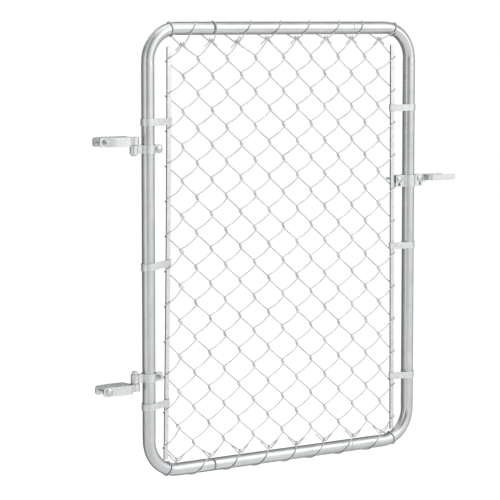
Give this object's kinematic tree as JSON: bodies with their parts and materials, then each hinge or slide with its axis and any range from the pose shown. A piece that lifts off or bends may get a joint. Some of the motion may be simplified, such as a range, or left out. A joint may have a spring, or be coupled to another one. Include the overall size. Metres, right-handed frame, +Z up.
{
  "type": "chain link gate",
  "caption": "Walk gate leaf of bent galvanised tube filled with woven chain link, hung on two pin hinges with post straps and closed by a lifting fork latch.",
  "frame": {"origin": "centre of the flat inner face of the lower post strap's web, where the strap bears on the post", "axes": "+X from the hinge side to the latch side, +Y away from the front, +Z up"},
  "size_m": [1.182, 0.0943, 1.2302],
  "materials": {
    "tube": "galvanised, satin",
    "wire": "galvanised wire, satin",
    "strap": "hot-dip zinc, matt",
    "bolt": "zinc plated"
  },
  "bodies": {
    "post_side": {"upper_post_strap": "strap", "upper_pintle": "strap", "upper_post_bolt": "bolt", "upper_post_nut": "bolt", "lower_post_strap": "strap", "lower_pintle": "strap", "lower_post_bolt": "bolt", "lower_post_nut": "bolt"},
    "gate_leaf": {"hinge_stile": "tube", "latch_stile": "tube", "top_rail": "tube", "bottom_rail": "tube", "chain_link_fabric": "wire", "hinge_side_tension_bar": "strap", "latch_side_tension_bar": "strap", "hinge_side_clip_1": "strap", "hinge_side_clip_2": "strap", "hinge_side_clip_3": "strap", "latch_side_clip_1": "strap", "latch_side_clip_2": "strap", "latch_side_clip_3": "strap", "top_lacing_wire": "wire", "bottom_lacing_wire": "wire", "upper_gate_collar": "strap", "upper_collar_bolt": "bolt", "upper_collar_nut": "bolt", "lower_gate_collar": "strap", "lower_collar_bolt": "bolt", "lower_collar_nut": "bolt", "latch_front_plate": "strap", "latch_back_plate": "strap", "latch_clamp_bolt": "bolt", "latch_clamp_nut": "bolt", "latch_pivot_bolt": "bolt", "latch_pivot_nut": "bolt"},
    "fork": {"latch_fork": "strap"}
  },
  "joints": [
    {"name": "gate_swing", "type": "hinge", "parent": "post_side", "child": "gate_leaf", "pos_m": [0.0235, 0, 0], "axis": [0, 0, 1], "range_deg": [-90, 90]},
    {"name": "fork_lift", "type": "hinge", "parent": "gate_leaf", "child": "fork", "pos_m": [0.9845, 0, 0.516], "axis": [0, -1, 0], "range_deg": [0, 105]}
  ]
}
